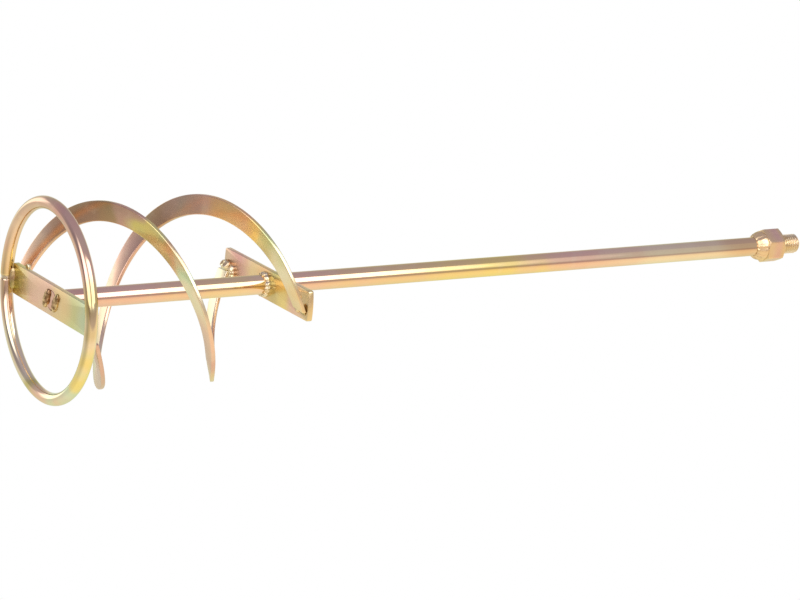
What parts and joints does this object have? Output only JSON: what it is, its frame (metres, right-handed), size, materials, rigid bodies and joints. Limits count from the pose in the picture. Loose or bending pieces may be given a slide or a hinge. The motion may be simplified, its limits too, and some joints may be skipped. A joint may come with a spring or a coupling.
{
  "type": "mortar mixing paddle",
  "caption": "Rigid stirring paddle for a hand-held mixer: a threaded straight shaft carrying wound flat blades between crossbars and a round guard ring that lifts and folds mortar or plaster.",
  "frame": {"origin": "centre of the guard ring, level with the ring's underside", "axes": "+Z along the shaft from the guard ring to the threaded end, X along the crossbars, blade starts at +X and -X"},
  "size_m": [0.14, 0.14, 0.606],
  "materials": {
    "plated_wire": "glossy yellow chromate over zinc",
    "plated_bar": "satin yellow chromate over zinc",
    "plated_shaft": "glossy yellow chromate over zinc",
    "plated_strip": "glossy yellow chromate over zinc",
    "plated_adapter": "satin yellow chromate over zinc",
    "weld_metal": "lumpy weld bead, yellow chromate over zinc"
  },
  "bodies": {
    "root": {"ring": "plated_wire", "lower_crossbar": "plated_bar", "upper_crossbar": "plated_bar", "shaft": "plated_shaft", "blade_1": "plated_strip", "blade_2": "plated_strip", "threaded_adapter": "plated_adapter", "adapter_weld": "weld_metal", "upper_bar_weld_below": "weld_metal", "upper_bar_weld_above": "weld_metal", "lower_bar_weld_above": "weld_metal", "shaft_end_weld_1": "weld_metal", "shaft_end_weld_2": "weld_metal", "ring_seam_weld": "weld_metal", "ring_weld_1": "weld_metal", "ring_weld_2": "weld_metal", "blade_1_lower_weld": "weld_metal", "blade_2_lower_weld": "weld_metal", "blade_1_upper_weld": "weld_metal", "blade_2_upper_weld": "weld_metal"}
  },
  "joints": []
}
